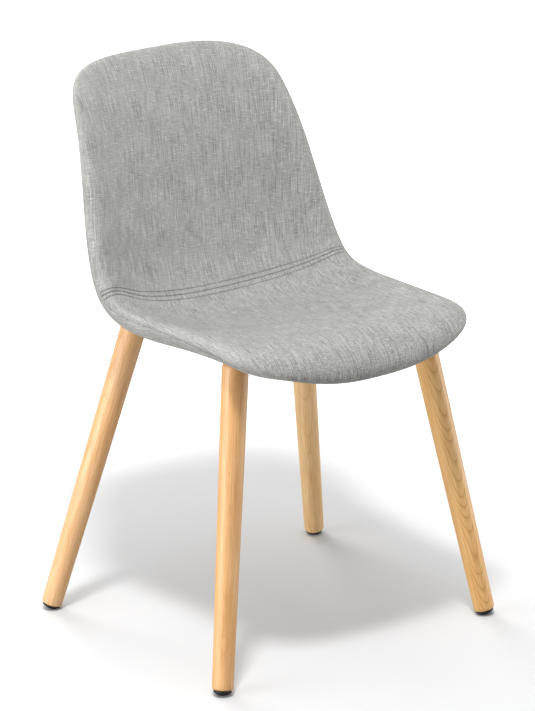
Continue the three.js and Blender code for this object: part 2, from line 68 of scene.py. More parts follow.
# Columns: depth, height, width, rise, thickness, edge seam angle in degrees
SHELL_SHARES = np.array([
    (0.000, 0.008, 0.790, 0.00, 1.02, -35.0),
    (0.017, 0.075, 0.896, 0.00, 1.02, -35.0),
    (0.075, 0.118, 0.932, 0.06, 1.02, -34.0),
    (0.216, 0.087, 0.915, 0.37, 1.01, -26.0),
    (0.405, 0.038, 0.922, 0.73, 1.00, -8.0),
    (0.637, 0.000, 0.987, 0.84, 1.00, 4.0),
    (0.768, 0.155, 1.000, 0.98, 1.00, -24.0),
    (0.837, 0.479, 0.940, 1.00, 0.92, -46.0),
    (0.904, 0.781, 0.844, 0.97, 0.84, -46.0),
    (1.000, 1.000, 0.745, 0.56, 0.75, -46.0),
])
COVER_THICKNESS = 1.4
PLYWOOD_THICKNESS = 9.0
PLYWOOD_EDGE_ANGLE = -62.0
FOAM_END_ANGLE = -58.0
GAP = 0.3
# Points nearer to the seam than this lie on it
SAME_PLACE = 0.001

# Seam between back and seat, as seen in the photograph: length along the shell by side share
SEAM_CURVE = (384.0, -1.6, 11.2, -16.6, -13.8)
SEAM_HALF_WIDTH = 209.6
STITCH_ROWS = {"lower": -11.2, "upper": 9.5}
# How dark the painted shade along each stitch row is, and how wide that shade is
ROW_PAINTED_SHADES = {"lower": (1.4, 2.0), "upper": (0.9, 1.3)}
SEAM_DEPTH = 1.3
SEAM_SPREAD = 1.2
ROW_DEPTH = 1.1
ROW_SPREAD = 1.0
# Width of the painted shade along the seam between back and seat
PAINTED_SEAM_SHADE_SPREAD = 1.3
# The seam along the covers' edge, with a fine row of stitches beside it. It fades between two places. Its
# shade values are painted shade along the seam and its row of stitches.
EDGE_DEPTH = 1.0
EDGE_SPREAD = 1.3
EDGE_PAINTED_SHADE = 0.8
EDGE_ROW_OFFSET = 3.2
EDGE_ROW_DEPTH = 0.35
EDGE_ROW_PAINTED_SHADE = 0.45
EDGE_FADE = (355.0, 430.0)
EDGE_FADED = 0.25

# Thread: one stitch's length, the pause after it, and the thread's radius
TOPSTITCH = (3.2, 1.1, 0.3)
EDGE_STITCH = (2.6, 1.2, 0.22)
STITCH_SECTIONS = 6
STITCH_SIDES = 6
# As shares of the thread's radius: how far a stitch bulges, how deep its ends sink, how thick they are
STITCH_BULGE = 1.5
STITCH_SINK = 0.6
STITCH_END = 0.35
# How far ahead a thread's way is measured, as a share of its row
AHEAD_SHARE = 0.001

# Grids of the panels: finest step, coarsest step, and width of the strip with the finest step
COVER_GRID = (0.6, 5.0, 12.0)
FOAM_GRID = (2.5, 8.0, 10.0)

# Padding: how far it falls towards the rim (less than none: it rises), over what width, and how full
# the rim's front half is (2 is an ellipse). Each is given at these places along the shell.
PADDING_PLACES = (250.0, 430.0, 570.0, 670.0)
RIM_FALL = (2.5, -5.0, -4.0, 0.0)
RIM_FULLNESS = (2.0, 3.0, 3.0, 2.1)
FALL_WIDTH = 30.0

# Cloth simulation: how far the cover swells between the seams that hold it
SWELL = 1.5
SWELL_REACH = 5.0
SIM_GRID = (7.0, 7.0, 0.0)
SIM_FRAMES = 20
HELD_MARGIN = 1.0
CLOTH_SETTINGS = {
    "quality": 6,
    "mass": 0.3,
    "tension_stiffness": 15.0,
    "compression_stiffness": 15.0,
    "shear_stiffness": 5.0,
    "bending_stiffness": 0.5,
    "vertex_group_mass": "held",
    "use_pressure": True,
    "uniform_pressure_force": 0.5,
}

# Legs
LEG_SETBACK = {"front": 128.0, "rear": 377.93}
PLATE_CLEARANCE = {"front": 6.2, "rear": 38.3}
PLATE_RADIUS = 17.5
SPLAY = {"front": (75.7, -68.0), "rear": (97.5, 82.3)}
LEG_FOOT_RADIUS = 14.6
LEG_TOP_RADIUS = 18.4
LEG_LIFT = 8.0
LEG_FOOT_ROUND = 3.0
LEG_TOP_ROUND = 9.0
LEG_TOP_SINK = 3.0
GLIDE_RADIUS = 12.5
GLIDE_FACE_RADIUS = 4.5
GLIDE_DOME_RADIUS = 18.0
GLIDE_CORNER = 0.9
LEG_SEGMENTS = 96
GLIDE_SEGMENTS = 64
# Below this much of a leg's top, nothing is cut to meet the underside
LEG_CUT_ZONE = 40.0
# Zone with close rings under the rounded top
LEG_FINE_ZONE = 7.0
LEG_RINGS = 60
LEG_FINE_RINGS = 8
# Rings of the flat ends, as shares of their radius
LEG_END_SHARES = (0.6, 0.25)
FLAT_END_SHARE = 0.5
FOOT_ROUND_STEPS = 6
TOP_ROUND_STEPS = 12
GLIDE_DOME_STEPS = 12
GLIDE_CORNER_STEPS = 4
SETTLE_ROUNDS = 60


# Centre line of the shell: a uniform cubic spline through the shares
def spline_blend(table, t):
    padded = np.vstack([2 * table[0] - table[1], table, 2 * table[-1] - table[-2]])
    i = np.minimum(t.astype(int), len(table) - 2)
    f = (t - i)[..., None]
    b0 = (1 - f) ** 3 / 6
    b1 = (3 * f**3 - 6 * f**2 + 4) / 6
    b2 = (-3 * f**3 + 3 * f**2 + 3 * f + 1) / 6
    b3 = f**3 / 6
    return b0 * padded[i] + b1 * padded[i + 1] + b2 * padded[i + 2] + b3 * padded[i + 3]


def stations_at_parameter(t):
    share = spline_blend(SHELL_SHARES, t)
    scale = np.array([SHELL_DEPTH, SHELL_HEIGHT, SHELL_WIDTH / 2, SIDE_RISE, PAD_THICKNESS / 2, 1.0])
    row = share * scale
    row[..., 0] += SHELL_FRONT
    row[..., 1] += SHELL_BASE
    row[..., 3] = np.maximum(row[..., 3], 0)
    return row


PARAMETERS = np.linspace(0, len(SHELL_SHARES) - 1, CENTRE_LINE_POINTS)
STATIONS = stations_at_parameter(PARAMETERS)
LENGTHS = np.concatenate([[0], np.cumsum(np.hypot(*np.diff(STATIONS[:, :2], axis=0).T))])
SHELL_LENGTH = LENGTHS[-1]
Y, Z, HALF_WIDTH, RISE, HALF_THICK, SEAM_ANGLE = range(6)


def station(s, column):
    return np.interp(s, LENGTHS, STATIONS[:, column])


def direction(s):
    """Way of the centre line, to the back and upwards."""
    step = DIFFERENCE_STEP
    held = np.clip(s, step, SHELL_LENGTH - step)
    dy = station(held + step, Y) - station(held - step, Y)
    dz = station(held + step, Z) - station(held - step, Z)
    length = np.hypot(dy, dz)
    return dy / length, dz / length


def middle(x, s):
    """Points of the middle surface: x to the side, s along the centre line."""
    dy, dz = direction(s)
    beyond = s - np.clip(s, 0, SHELL_LENGTH)
    lift = station(s, RISE) * np.minimum(np.abs(x) / station(s, HALF_WIDTH), 2) ** RISE_POWER
    y = station(s, Y) + dy * beyond - dz * lift
    z = station(s, Z) + dz * beyond + dy * lift
    return np.stack([x, y, z], -1)


def middle_normal(x, s):
    step = DIFFERENCE_STEP
    across = middle(x + step, s) - middle(x - step, s)
    along = middle(x, s + step) - middle(x, s - step)
    normal = np.cross(across, along)
    return normal / np.linalg.norm(normal, axis=-1, keepdims=True)


def offset_point(x, s, height):
    """Points at a height over the middle surface, towards the sitter."""
    return middle(x, s) + middle_normal(x, s) * np.asarray(height)[..., None]


# Outline of the flattened shell, anticlockwise from the middle of the front
def make_outline(half_count):
    angle = np.linspace(0, math.pi / 2, CURVE_POINTS)
    s_front = FRONT_CORNER_LENGTH * (1 - np.cos(angle) ** (2 / FRONT_CORNER_POWER))
    x_front = station(s_front, HALF_WIDTH) * np.sin(angle) ** (2 / FRONT_CORNER_POWER)
    s_side = np.linspace(FRONT_CORNER_LENGTH, SHELL_LENGTH - TOP_CORNER_LENGTH, CURVE_POINTS)
    x_side = station(s_side, HALF_WIDTH)
    s_top = SHELL_LENGTH - TOP_CORNER_LENGTH * (1 - np.sin(angle) ** (2 / TOP_CORNER_POWER))
    x_top = station(s_top, HALF_WIDTH) * np.abs(np.cos(angle)) ** (2 / TOP_CORNER_POWER)
    x = np.concatenate([x_front, x_side[1:-1], x_top])
    s = np.concatenate([s_front, s_side[1:-1], s_top])
    walked = np.concatenate([[0], np.cumsum(np.hypot(np.diff(x), np.diff(s)))])
    even = np.linspace(0, walked[-1], half_count)
    half = np.stack([np.interp(even, walked, x), np.interp(even, walked, s)], -1)
    half[0, 0] = half[-1, 0] = 0
    return np.concatenate([half, (half * [-1, 1])[-2:0:-1]])


OUTLINE = make_outline(OUTLINE_HALF_POINTS)
heading = np.roll(OUTLINE, -2, 0) - np.roll(OUTLINE, 2, 0)
heading /= np.linalg.norm(heading, axis=1, keepdims=True)
INWARD = np.stack([-heading[:, 1], heading[:, 0]], -1)
INNER = OUTLINE + INWARD * EDGE_ROUND

# The pattern: the cover laid flat. Past the inner ring it goes on for the length of the rounded edge.
PATTERN_RADIUS = 22.0


def on_ring(values, index):
    """Values given at the points of a closed ring, read between them."""
    low = np.floor(index).astype(int)
    f = (index - low)[..., None]
    count = len(values)
    return values[low % count] * (1 - f) + values[(low + 1) % count] * f


def ring_place(points):
    """Fractional place on the inner ring nearest to each pattern point, and the distance outside it."""
    index = np.zeros(len(points))
    outside = np.zeros(len(points))
    for start in range(0, len(points), POINT_BATCH):
        batch = slice(start, start + POINT_BATCH)
        part = points[batch]
        gaps = part[:, None, :] - INNER[None]
        nearest = np.argmin((gaps**2).sum(-1), axis=1)
        best = np.full(len(part), np.inf)
        for shift in (-1, 0):
            a = INNER[(nearest + shift) % len(INNER)]
            b = INNER[(nearest + shift + 1) % len(INNER)]
            f = np.clip(((part - a) * (b - a)).sum(-1) / ((b - a) ** 2).sum(-1), 0, 1)
            foot = a + (b - a) * f[:, None]
            distance = np.linalg.norm(part - foot, axis=1)
            better = distance < best
            best = np.where(better, distance, best)
            index[batch] = np.where(better, nearest + shift + f, index[batch])
        foot = on_ring(INNER, index[batch])
        side = ((part - foot) * on_ring(INWARD, index[batch])).sum(-1)
        outside[batch] = np.where(side < 0, best, -best)
    return index, outside


def shell_place(points, index, outside, inset):
    """Where pattern points lie on the shell: past the inner ring, inset from the outline."""
    rim = on_ring(OUTLINE, index) + on_ring(INWARD, index) * inset[:, None]
    return np.where(outside[:, None] <= 0, points, rim).T


def cover_point(points, depth, front):
    """Pattern points on the upholstery's surface, at a depth under its outside."""
    index, outside = ring_place(points)
    depth = np.broadcast_to(np.asarray(depth, float), outside.shape)
    turned = math.pi / 2 - np.maximum(outside, 0) / PATTERN_RADIUS
    if not front:
        turned = -turned
    inset = depth + (EDGE_ROUND - depth) * (1 - np.cos(turned))
    x, s = shell_place(points, index, outside, inset)
    thick = station(s, HALF_THICK) - depth
    if front:
        fall = valley(np.minimum(outside, 0), np.interp(s, PADDING_PLACES, RIM_FALL), FALL_WIDTH)
        power = np.interp(s, PADDING_PLACES, RIM_FULLNESS)
        full = (1 - np.clip(np.cos(turned), 0, 1) ** power) ** (1 / power)
        height = np.where(turned > 0, (thick - fall) * full, thick * np.sin(turned))
    else:
        height = np.where(outside <= 0, -thick, thick * np.sin(turned))
    return offset_point(x, s, height)


def edge_reach(front, angle_of=None):
    """How far past the inner ring the cover's edge lies, for each outline point."""
    angle = np.radians(station(OUTLINE[:, 1], SEAM_ANGLE) if angle_of is None else angle_of)
    return PATTERN_RADIUS * ((math.pi / 2 - angle) if front else (math.pi / 2 + angle))


def seam_line(x):
    """Length along the shell of the seam between back and seat."""
    held = np.clip(x / SEAM_HALF_WIDTH, -1, 1)
    return sum(c * held**k for k, c in enumerate(SEAM_CURVE))


def seam_distance(points):
    """Distance of pattern points above the seam between back and seat."""
    step = SEAM_DIFFERENCE_STEP
    slope = (seam_line(points[:, 0] + step) - seam_line(points[:, 0] - step)) / (2 * step)
    return (points[:, 1] - seam_line(points[:, 0])) / np.hypot(1, slope)


# Panels: four-sided grids over the pattern, with close rows beside every seam
def spacing(length, fine, coarse, fine_width):
    """Shares from 0 to 1 whose steps grow from fine at both ends to coarse in the middle."""
    steps = []
    walked = 0.0
    step = fine
    while walked < length / 2:
        if walked > fine_width:
            step = min(step * STEP_GROWTH, coarse)
        steps.append(step)
        walked += step
    places = np.concatenate([[0], np.cumsum(steps + steps[::-1])])
    return places / places[-1]


def resample(line, shares):
    """Points of a line at shares of its length."""
    walked = np.concatenate([[0], np.cumsum(np.linalg.norm(np.diff(line, axis=0), axis=1))])
    at = shares * walked[-1]
    return np.stack([np.interp(at, walked, line[:, k]) for k in range(line.shape[1])], -1)


def length_of(line):
    return np.linalg.norm(np.diff(line, axis=0), axis=1).sum()


def coons(bottom, right, top, left, u, v):
    """Grid between four lines. Bottom and top run from left to right, left and right run upwards."""
    bottom, top = resample(bottom, u), resample(top, u)
    left, right = resample(left, v), resample(right, v)
    uu, vv = u[None, :, None], v[:, None, None]
    across = left[:, None] * (1 - uu) + right[:, None] * uu
    upward = bottom[None] * (1 - vv) + top[None] * vv
    corners = (
        (1 - uu) * (1 - vv) * bottom[0] + uu * (1 - vv) * bottom[-1]
        + (1 - uu) * vv * top[0] + uu * vv * top[-1]
    )
    return across + upward - corners


def ring_slice(ring, start, end):
    """Points of a closed ring from index start up to index end, going anticlockwise."""
    if end < start:
        end += len(ring)
    return ring[np.arange(start, end + 1) % len(ring)]


def corner_index(ring, x_way, s_way):
    """The ring's furthest point in a slanting direction."""
    return int(np.argmax(ring[:, 0] * x_way + ring[:, 1] * s_way))


def seam_ends(ring):
    """The ring's points beside the left and right end of the seam, and the two ends."""
    above = seam_distance(ring) > 0
    change = np.nonzero(above != np.roll(above, -1))[0]
    left_seam, right_seam = int(change[-1]), int(change[0]) + 1
    ends = []
    for k in (left_seam, right_seam - 1):
        a, b = ring[k], ring[(k + 1) % len(ring)]
        da, db = seam_distance(np.array([a, b]))
        ends.append(a + (b - a) * da / (da - db))
    return left_seam, right_seam, ends


def panel_lines(part, reach):
    """Bottom, right, top and left line of a panel's pattern: part is seat, back or outer."""
    ring = INNER - INWARD * reach[:, None]
    front_right = corner_index(ring, 1, -1)
    front_left = corner_index(ring, -1, -1)
    top_right = corner_index(ring, 1, 1)
    top_left = corner_index(ring, -1, 1)
    if part == "outer":
        return (
            ring_slice(ring, front_left, front_right),
            ring_slice(ring, front_right, top_right),
            ring_slice(ring, top_right, top_left)[::-1],
            ring_slice(ring, top_left, front_left)[::-1],
        )
    left_seam, right_seam, ends = seam_ends(ring)
    x = np.linspace(ends[0][0], ends[1][0], SEAM_POINTS)
    seam = np.stack([x, seam_line(x)], -1)
    seam[0], seam[-1] = ends
    if part == "back":
        return (
            seam,
            np.vstack([ends[1], ring_slice(ring, right_seam, top_right)]),
            ring_slice(ring, top_right, top_left)[::-1],
            np.vstack([ring_slice(ring, top_left, left_seam), ends[0]])[::-1],
        )
    return (
        ring_slice(ring, front_left, front_right),
        np.vstack([ring_slice(ring, front_right, right_seam - 1), ends[1]]),
        seam,
        np.vstack([ends[0], ring_slice(ring, left_seam + 1, front_left)])[::-1],
    )


def panel_grid(part, reach, steps):
    """Pattern points of a panel in rows and columns, with steps as in COVER_GRID."""
    bottom, right, top, left = panel_lines(part, reach)
    u = spacing(max(length_of(bottom), length_of(top)), *steps)
    v = spacing(max(length_of(right), length_of(left)), *steps)
    return coons(bottom, right, top, left, u, v)


def edge_distance(points, reach):
    """Distance of pattern points inside the cover's edge."""
    index, outside = ring_place(points)
    return on_ring(reach[:, None], index)[:, 0] - outside


def edge_strength(points):
    """How plain the edge seam is: less on the back, where the photograph does not show it."""
    index, _ = ring_place(points)
    return np.interp(on_ring(OUTLINE, index)[:, 1], EDGE_FADE, (1.0, EDGE_FADED))


def valley(distance, depth, spread):
    """A smooth groove: its depth at some distance from its middle."""
    return depth * np.exp(-((distance / spread) ** 2))


def sewn_depth(points, part, reach):
    """How far seams and stitch rows pull the cover in."""
    from_edge = edge_distance(points, reach)
    depth = valley(from_edge, EDGE_DEPTH, EDGE_SPREAD) * edge_strength(points)
    if part != "outer":
        from_seam = seam_distance(points)
        depth = depth + valley(from_edge - EDGE_ROW_OFFSET, EDGE_ROW_DEPTH, ROW_SPREAD)
        rows = [valley(from_seam - row, ROW_DEPTH, ROW_SPREAD) for row in STITCH_ROWS.values()]
        depth = np.max([depth, valley(from_seam, SEAM_DEPTH, SEAM_SPREAD), *rows], axis=0)
    return depth


# Meshes
def grid_faces(rows, columns, start, flip):
    """Four-sided faces of a grid whose points are numbered from start, row by row."""
    index = start + np.arange(rows * columns).reshape(rows, columns)
    a, b = index[:-1, :-1].ravel(), index[:-1, 1:].ravel()
    c, d = index[1:, 1:].ravel(), index[1:, :-1].ravel()
    return np.stack([a, d, c, b] if flip else [a, b, c, d], -1)


def rim_indices(rows, columns, start):
    """Numbers of a grid's outer points, once round."""
    index = start + np.arange(rows * columns).reshape(rows, columns)
    return np.concatenate([index[0, :-1], index[:-1, -1], index[-1, :0:-1], index[:0:-1, 0]])


def make_object(name, points, faces, smooth=True):
    mesh = bpy.data.meshes.new(name)
    mesh.from_pydata((points * MM).tolist(), [], [[int(i) for i in face] for face in faces])
    mesh.update()
    if smooth:
        mesh.polygons.foreach_set("use_smooth", np.ones(len(mesh.polygons), bool))
    piece = bpy.data.objects.new(name, mesh)
    bpy.context.scene.collection.objects.link(piece)
    return piece


def set_attribute(piece, name, vectors):
    attribute = piece.data.attributes.new(name, "FLOAT_VECTOR", "POINT")
    attribute.data.foreach_set("vector", (vectors * MM).astype(np.float32).ravel())


def painted_seam_shade(points, part, reach):
    """Painted shade along the seams and stitched rows, standing in for the shadow in their grooves, from
    0 to 1.
    """
    from_edge = edge_distance(points, reach)
    shade = valley(from_edge, EDGE_PAINTED_SHADE, PAINTED_SEAM_SHADE_SPREAD) * edge_strength(points)
    if part != "outer":
        from_seam = seam_distance(points)
        edge_row = valley(from_edge - EDGE_ROW_OFFSET, EDGE_ROW_PAINTED_SHADE, ROW_SPREAD)
        rows = [valley(from_seam - row, *ROW_PAINTED_SHADES[name]) for name, row in STITCH_ROWS.items()]
        shade = np.max([shade, edge_row, valley(from_seam, 1, PAINTED_SEAM_SHADE_SPREAD), *rows], axis=0)
    return shade


# Cloth simulation
def simulated_rise(points, faces, held):
    """How far pressure moves each point of a cloth that is held at some of them."""
    cloth_object = make_object("simulated_cloth", points, faces)
    group = cloth_object.vertex_groups.new(name="held")
    group.add([int(i) for i in np.nonzero(held)[0]], 1.0, "REPLACE")
    modifier = cloth_object.modifiers.new("cloth", "CLOTH")
    for key, value in CLOTH_SETTINGS.items():
        setattr(modifier.settings, key, value)
    modifier.settings.effector_weights.gravity = 0.0
    modifier.point_cache.frame_end = SIM_FRAMES
    for number in range(1, SIM_FRAMES + 1):
        bpy.context.scene.frame_set(number)
    shaped = cloth_object.evaluated_get(bpy.context.evaluated_depsgraph_get()).data
    moved = np.empty(len(points) * 3, np.float32)
    shaped.vertices.foreach_get("co", moved)
    bpy.data.objects.remove(cloth_object)
    bpy.context.scene.frame_set(1)
    return moved.reshape(-1, 3).astype(float) / MM - points


def cover_swell(part, reach):
    """Pattern points of a front cover, and how far each has risen: 0 at the seams and SWELL at most."""
    grid = panel_grid(part, reach, SIM_GRID)
    rows, columns = grid.shape[:2]
    flat = grid.reshape(-1, 2)
    held = np.abs(seam_distance(flat)) < STITCH_ROWS["upper"] + HELD_MARGIN
    held[rim_indices(rows, columns, 0)] = True
    level = cover_point(flat, 0.0, True)
    outward = cover_point(flat, -1.0, True) - level
    moved = simulated_rise(level, grid_faces(rows, columns, 0, False), held)
    rise = (moved * outward).sum(-1)
    return flat, SWELL * np.tanh(np.maximum(rise, 0) / SWELL)


FRONT_REACH = edge_reach(True)
SWELLS = [cover_swell(part, FRONT_REACH) for part in ("seat", "back")]
SWELL_PLACES = np.concatenate([places for places, _ in SWELLS])
SWELL_HEIGHTS = np.concatenate([heights for _, heights in SWELLS])


def swell_at(points):
    """The simulated rise at any pattern points of the front, smoothed between the simulated ones."""
    heights = np.zeros(len(points))
    for start in range(0, len(points), SWELL_BATCH):
        batch = slice(start, start + SWELL_BATCH)
        part = points[batch]
        gaps = (part**2).sum(-1)[:, None] + (SWELL_PLACES**2).sum(-1)[None] - 2 * part @ SWELL_PLACES.T
        weight = np.exp(-np.maximum(gaps, 0) / SWELL_REACH**2)
        heights[batch] = (weight * SWELL_HEIGHTS).sum(-1) / weight.sum(-1)
    return heights


def front_depth(points):
    """Depth of the front covers: pulled in by the sewing and swollen between it."""
    return sewn_depth(points, "front", FRONT_REACH) - swell_at(points)


def two_sided(name, shape, outside, inside, front):
    """A closed thin body between two grids of the same shape, given as lists of points."""
    rows, columns = shape[:2]
    count = rows * columns
    rim_out = rim_indices(rows, columns, 0)
    rim_in = rim_indices(rows, columns, count)
    wall = np.stack([rim_out, rim_in, np.roll(rim_in, -1), np.roll(rim_out, -1)], -1)
    if not front:
        wall = wall[:, ::-1]
    faces = grid_faces(rows, columns, 0, not front), grid_faces(rows, columns, count, front), wall
    return make_object(name, np.concatenate([outside, inside]), np.concatenate(faces))


def cover_panel(name, part):
    """A cover as a thin closed body. Its weave attribute holds its pattern and the painted shade along
    its seams.
    """
    front = part != "outer"
    reach = edge_reach(front)
    grid = panel_grid(part, reach, COVER_GRID)
    flat = grid.reshape(-1, 2)
    pulled = front_depth(flat) if front else sewn_depth(flat, part, reach)
    outside = cover_point(flat, pulled, front)
    inside = cover_point(flat, pulled + COVER_THICKNESS, front)
    piece = two_sided(name, grid.shape, outside, inside, front)
    weave = np.column_stack([flat, painted_seam_shade(flat, part, reach) / MM])
    set_attribute(piece, "weave", np.concatenate([weave, weave]))
    return piece


# Stitches: short threads lying on the cover
def thread_ring(line, at, radius, bulge):
    """The points round one cross-section of every stitch, at these shares of the line's length."""
    raised = radius * (STITCH_BULGE * bulge - STITCH_SINK)
    centre = resample(line, at)
    ahead = resample(line, np.minimum(at + AHEAD_SHARE, 1))
    depth = front_depth(centre) - raised
    here = cover_point(centre, depth, True)
    along = cover_point(ahead, front_depth(ahead) - raised, True) - here
    along /= np.linalg.norm(along, axis=1, keepdims=True)
    up = cover_point(centre, depth - 1, True) - here
    up /= np.linalg.norm(up, axis=1, keepdims=True)
    across = np.cross(along, up)
    thick = radius * (STITCH_END + (1 - STITCH_END) * bulge ** 0.5)
    ring = []
    for m in range(STITCH_SIDES):
        angle = 2 * math.pi * m / STITCH_SIDES
        ring.append(here + thick * (math.cos(angle) * across + math.sin(angle) * up))
    return ring


def thread_faces(count):
    """Faces of all stitches: walls from ring to ring, and a cap at each end."""
    first = np.arange(count)[:, None] * STITCH_SECTIONS * STITCH_SIDES
    walls = []
    for k in range(STITCH_SECTIONS - 1):
        for m in range(STITCH_SIDES):
            a, b = k * STITCH_SIDES + m, k * STITCH_SIDES + (m + 1) % STITCH_SIDES
            walls.append(first + np.array([[a, b, b + STITCH_SIDES, a + STITCH_SIDES]]))
    start_cap = first + np.arange(STITCH_SIDES)[::-1][None]
    end_cap = first + ((STITCH_SECTIONS - 1) * STITCH_SIDES + np.arange(STITCH_SIDES))[None]
    return np.concatenate(walls).tolist() + np.concatenate([start_cap, end_cap]).tolist()


def stitches(name, line, thread_size):
    """A row of stitches along a pattern line, each a closed thread of its own."""
    length, pause, radius = thread_size
    total = length_of(line)
    count = int(total // (length + pause))
    starts = (np.arange(count) + 0.5) / count - length / total / 2
    points = []
    for k in range(STITCH_SECTIONS):
        share = k / (STITCH_SECTIONS - 1)
        bulge = math.sin(math.pi * share) if 0 < share < 1 else 0.0
        points += thread_ring(line, starts + share * length / total, radius, bulge)
    return make_object(name, np.stack(points, 1).reshape(-1, 3), thread_faces(count))


# Turned pieces on a leg's axis
def plywood_edge_inset():
    """How far the plywood's edge lies inside the outline."""
    depth = COVER_THICKNESS + GAP
    return depth + (EDGE_ROUND - depth) * (1 - math.cos(math.radians(PLYWOOD_EDGE_ANGLE)))


def leg_axis(row, side):
    """A leg's foot and direction. Its top is where its plate sits, and it is splayed from there."""
    s = np.array([LEG_SETBACK[row]])
    x = side * (station(s, HALF_WIDTH) - plywood_edge_inset() - PLATE_RADIUS - PLATE_CLEARANCE[row])
    top = offset_point(x, s, -station(s, HALF_THICK))[0]
    out, back = SPLAY[row]
    foot = np.array([top[0] + side * out, top[1] + back, 0.0])
    length = np.linalg.norm(top - foot)
    return {"foot": foot, "way": (top - foot) / length, "reach": length, "x": x[0], "s": s[0]}


def underside_reach(axis, shifts):
    """How far along the axis each parallel line meets the shell's underside, less the gap."""
    count = len(shifts)
    x = np.full(count, axis["x"]) + shifts[:, 0]
    s = np.full(count, axis["s"]) + shifts[:, 1]
    start = axis["foot"] + shifts
    for _ in range(SETTLE_ROUNDS):
        place = offset_point(x, s, -(station(s, HALF_THICK) + GAP))
        walk = (place[:, 2] - start[:, 2]) / axis["way"][2]
        on_line = start + axis["way"] * walk[:, None]
        x = x + (on_line[:, 0] - place[:, 0]) / 2
        s = s + (on_line[:, 1] - place[:, 1]) / 2
    return walk


def lathe_faces(profile, starts, segments):
    """Faces between the rings of a profile, whose points are numbered from these starts."""
    faces = []
    for k in range(len(profile) - 1):
        low, high = starts[k], starts[k + 1]
        for m in range(segments):
            n = (m + 1) % segments
            if profile[k][0] == 0:
                faces.append((low, high + n, high + m))
            elif profile[k + 1][0] == 0:
                faces.append((low + m, low + n, high))
            else:
                faces.append((low + m, low + n, high + n, high + m))
    return faces


def turned(name, axis, profile, segments, top_limit=math.inf):
    """Lathe round the leg's axis from a profile of (radius, height). Its ends lie on the axis."""
    first = np.cross(axis["way"], [0.0, 1.0, 0.0])
    first /= np.linalg.norm(first)
    second = np.cross(axis["way"], first)
    angle = 2 * math.pi * np.arange(segments) / segments
    round_it = np.cos(angle)[:, None] * first + np.sin(angle)[:, None] * second
    points, local = [], []
    for radius, height in profile:
        count = segments if radius > 0 else 1
        shifts = radius * round_it
        heights = np.full(segments, height)
        if height > top_limit:
            heights = np.minimum(heights, underside_reach(axis, shifts))
        ring = axis["foot"] + shifts + axis["way"] * heights[:, None]
        ring[:, 2] = np.maximum(ring[:, 2], 0)
        points.append(ring[:count])
        local.append(np.stack([radius * np.cos(angle), radius * np.sin(angle), heights], -1)[:count])
    starts = np.cumsum([0] + [len(ring) for ring in points])
    piece = make_object(name, np.concatenate(points), lathe_faces(profile, starts, segments))
    set_attribute(piece, "grain", np.concatenate(local))
    return piece


def quarter(steps):
    """Angles of a quarter turn, without the first."""
    return [k / steps * math.pi / 2 for k in range(1, steps + 1)]


def leg_profile(length):
    taper = (LEG_TOP_RADIUS - LEG_FOOT_RADIUS) / (length - LEG_LIFT)
    top_round = length - LEG_TOP_ROUND

    def side_radius(height):
        return LEG_FOOT_RADIUS + taper * (height - LEG_LIFT)

    profile = [(0, LEG_LIFT), (LEG_FOOT_RADIUS * FLAT_END_SHARE, LEG_LIFT)]
    for angle in [0.0] + quarter(FOOT_ROUND_STEPS):
        height = LEG_LIFT + LEG_FOOT_ROUND * (1 - math.cos(angle))
        profile.append((side_radius(height) - LEG_FOOT_ROUND * (1 - math.sin(angle)), height))
    for height in np.linspace(LEG_LIFT + LEG_FOOT_ROUND, top_round, LEG_RINGS)[1:-1]:
        profile.append((side_radius(height), height))
    for height in np.linspace(top_round - LEG_FINE_ZONE, top_round, LEG_FINE_RINGS)[1:]:
        profile.append((side_radius(height), height))
    for angle in quarter(TOP_ROUND_STEPS):
        height = length - LEG_TOP_ROUND * (1 - math.sin(angle))
        profile.append((side_radius(height) - LEG_TOP_ROUND * (1 - math.cos(angle)), height))
    end_radius = profile[-1][0]
    return profile + [(end_radius * share, length) for share in (*LEG_END_SHARES, 0)]


def glide_profile(axis):
    centre = math.sqrt(GLIDE_DOME_RADIUS**2 - GLIDE_FACE_RADIUS**2) / axis["way"][2]
    edge = math.asin(GLIDE_RADIUS / GLIDE_DOME_RADIUS)
    top = LEG_LIFT - GAP
    profile = [(0, centre - GLIDE_DOME_RADIUS)]
    for k in range(1, GLIDE_DOME_STEPS + 1):
        angle = k / GLIDE_DOME_STEPS * edge
        height = centre - GLIDE_DOME_RADIUS * math.cos(angle)
        profile.append((GLIDE_DOME_RADIUS * math.sin(angle), height))
    for angle in quarter(GLIDE_CORNER_STEPS):
        radius = GLIDE_RADIUS - GLIDE_CORNER * (1 - math.cos(angle))
        profile.append((radius, top - GLIDE_CORNER * (1 - math.sin(angle))))
    return profile + [(GLIDE_RADIUS * FLAT_END_SHARE, top), (0, top)]


